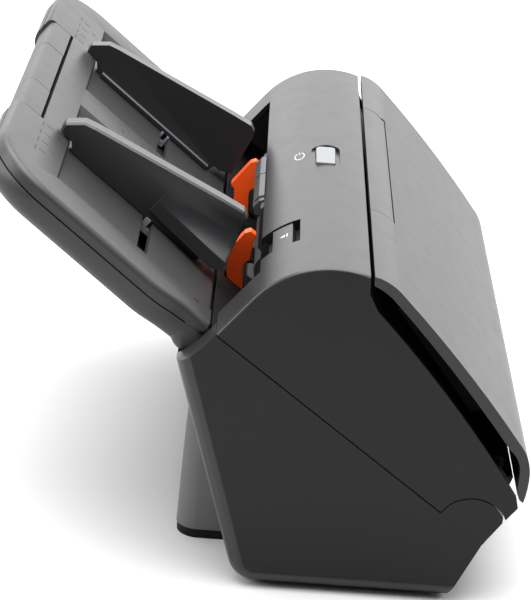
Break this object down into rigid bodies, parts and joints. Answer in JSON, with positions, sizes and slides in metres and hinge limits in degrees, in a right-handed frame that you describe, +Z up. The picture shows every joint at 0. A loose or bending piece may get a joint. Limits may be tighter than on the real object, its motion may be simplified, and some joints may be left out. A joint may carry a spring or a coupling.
{
  "type": "sheet fed document scanner",
  "caption": "Upright desktop document scanner in dark grey plastic with an open rear feed tray, paper guides and a front output slot.",
  "frame": {"origin": "table level under the middle of the overall width and depth, tray open", "axes": "+X along the width, -Y towards the front output side, +Y towards the feed tray, +Z up"},
  "size_m": [0.3, 0.2395, 0.1894],
  "materials": {
    "shell": "fine moulded grain",
    "tray": "fine moulded grain",
    "guide": "smooth satin",
    "inside": "smooth dark moulding",
    "light": "smooth",
    "orange": "smooth",
    "button": "smooth",
    "rubber": "ground",
    "pinch": "smooth",
    "steel": "turned",
    "brass": "turned",
    "glass": "polished",
    "board": "solder mask"
  },
  "bodies": {
    "base": {"base_left_side_cover": "shell", "base_right_side_cover": "shell", "base_lower_front_cover": "shell", "base_rear_cover": "shell", "base_bottom_plate": "inside", "base_screws": "steel", "base_paper_guide": "inside", "lower_sensor_glass": "glass", "lower_image_sensor": "inside", "left_hinge_cap": "shell", "right_hinge_cap": "shell", "rear_stand": "shell", "stand_sole": "inside", "rubber_feet": "rubber", "left_bearing_plate": "inside", "right_bearing_plate": "inside", "drive_motor": "steel", "main_circuit_board": "board", "power_inlet": "inside", "usb_socket": "inside", "tray_hinge_pins": "steel", "drive_belt": "rubber"},
    "motor_pulley": {"motor_pulley": "brass"},
    "feed_roller": {"feed_roller_shaft": "steel", "feed_roller_tyres": "rubber"},
    "drive_roller": {"drive_roller_shaft": "steel", "drive_roller_tyres": "rubber"},
    "eject_roller": {"eject_roller_shaft": "steel", "eject_roller_tyres": "rubber"},
    "document_stops": {"left_document_stop": "orange", "right_document_stop": "orange"},
    "front_unit": {"front_unit_top_cover": "shell", "control_board": "board", "exit_guide": "inside", "turn_guide": "inside", "upper_paper_guide": "inside", "upper_sensor_glass": "glass", "upper_image_sensor": "inside", "left_unit_frame": "inside", "right_unit_frame": "inside", "separation_holder": "light", "front_panel": "shell", "flap_hinge_cover": "shell", "left_panel_bracket": "inside", "right_panel_bracket": "inside"},
    "start_button": {"start_button": "button"},
    "open_lever": {"open_lever": "shell"},
    "output_flap": {"output_flap": "shell"},
    "separation_roller": {"separation_roller": "rubber"},
    "drive_pinch": {"drive_pinch_rollers": "pinch"},
    "eject_pinch": {"eject_pinch_rollers": "pinch"},
    "feed_tray": {"tray_upper_shell": "tray", "tray_lower_shell": "tray"},
    "tray_extension": {"tray_extension": "tray"},
    "tray_extension_middle": {"tray_extension_middle": "tray"},
    "left_guide": {"left_paper_guide": "guide", "left_guide_rack": "light"},
    "right_guide": {"right_paper_guide": "guide", "right_guide_rack": "light"},
    "guide_pinion": {"guide_pinion": "light"}
  },
  "joints": [
    {"name": "front_unit_hinge", "type": "hinge", "parent": "base", "child": "front_unit", "pos_m": [0, -0.09723, 0.036], "axis": [1, 0, 0], "range_deg": [0, 45]},
    {"name": "feed_tray_hinge", "type": "hinge", "parent": "base", "child": "feed_tray", "pos_m": [0, 0.02927, 0.1105], "axis": [1, 0, 0], "range_deg": [0, 14]},
    {"name": "tray_extension_slide", "type": "slide", "parent": "feed_tray", "child": "tray_extension", "axis": [0, 0.7782, 0.628], "range_m": [0, 0.055]},
    {"name": "tray_extension_middle_slide", "type": "slide", "parent": "tray_extension", "child": "tray_extension_middle", "axis": [0, 0.7782, 0.628], "range_m": [0, 0.055]},
    {"name": "right_guide_slide", "type": "slide", "parent": "feed_tray", "child": "right_guide", "axis": [1, 0, 0], "range_m": [-0.035, 0.046]},
    {"name": "left_guide_slide", "type": "slide", "parent": "feed_tray", "child": "left_guide", "axis": [-1, 0, 0], "range_m": [-0.035, 0.046]},
    {"name": "guide_pinion_turn", "type": "hinge", "parent": "feed_tray", "child": "guide_pinion", "pos_m": [0, 0.05514, 0.1346], "axis": [0, -0.628, 0.7782], "range_deg": [-440, 340]},
    {"name": "document_stops_fold", "type": "hinge", "parent": "base", "child": "document_stops", "pos_m": [0, 0.01027, 0.0966], "axis": [1, 0, 0], "range_deg": [0, 25], "stiffness_Nm_per_rad": 0.02},
    {"name": "start_button_press", "type": "slide", "parent": "front_unit", "child": "start_button", "axis": [0, 0, -1], "range_m": [0, 0.001], "stiffness_N_per_m": 300},
    {"name": "open_lever_slide", "type": "slide", "parent": "front_unit", "child": "open_lever", "axis": [0, 0.848, -0.5299], "range_m": [0, 0.0035], "stiffness_N_per_m": 200},
    {"name": "output_flap_hinge", "type": "hinge", "parent": "front_unit", "child": "output_flap", "pos_m": [0.013, -0.05592, 0.14285], "axis": [1, 0, 0], "range_deg": [0, 60]},
    {"name": "drive_roller_turn", "type": "hinge", "parent": "base", "child": "drive_roller", "pos_m": [0, -0.01653, 0.07359], "axis": [1, 0, 0], "continuous": true},
    {"name": "feed_roller_turn", "type": "hinge", "parent": "base", "child": "feed_roller", "pos_m": [0, 0.00601, 0.0902], "axis": [1, 0, 0], "continuous": true},
    {"name": "eject_roller_turn", "type": "hinge", "parent": "base", "child": "eject_roller", "pos_m": [0, -0.06321, 0.03917], "axis": [1, 0, 0], "continuous": true},
    {"name": "motor_pulley_turn", "type": "hinge", "parent": "base", "child": "motor_pulley", "pos_m": [0, -0.03523, 0.029], "axis": [1, 0, 0], "continuous": true},
    {"name": "drive_pinch_turn", "type": "hinge", "parent": "front_unit", "child": "drive_pinch", "pos_m": [0, -0.02495, 0.08502], "axis": [1, 0, 0], "continuous": true},
    {"name": "eject_pinch_turn", "type": "hinge", "parent": "front_unit", "child": "eject_pinch", "pos_m": [0, -0.07164, 0.0506], "axis": [1, 0, 0], "continuous": true},
    {"name": "separation_roller_turn", "type": "hinge", "parent": "front_unit", "child": "separation_roller", "pos_m": [0, -0.00431, 0.10421], "axis": [1, 0, 0], "continuous": true}
  ],
  "couplings": [
    {"joint": "left_guide_slide", "follows": "right_guide_slide", "ratio": 1},
    {"joint": "guide_pinion_turn", "follows": "right_guide_slide", "rad_per_m": -162.6},
    {"joint": "feed_roller_turn", "follows": "drive_roller_turn", "ratio": 1},
    {"joint": "eject_roller_turn", "follows": "drive_roller_turn", "ratio": 1},
    {"joint": "motor_pulley_turn", "follows": "drive_roller_turn", "ratio": 1},
    {"joint": "drive_pinch_turn", "follows": "drive_roller_turn", "ratio": -1.8},
    {"joint": "eject_pinch_turn", "follows": "drive_roller_turn", "ratio": -1.8},
    {"joint": "separation_roller_turn", "follows": "drive_roller_turn", "ratio": -1.125}
  ]
}
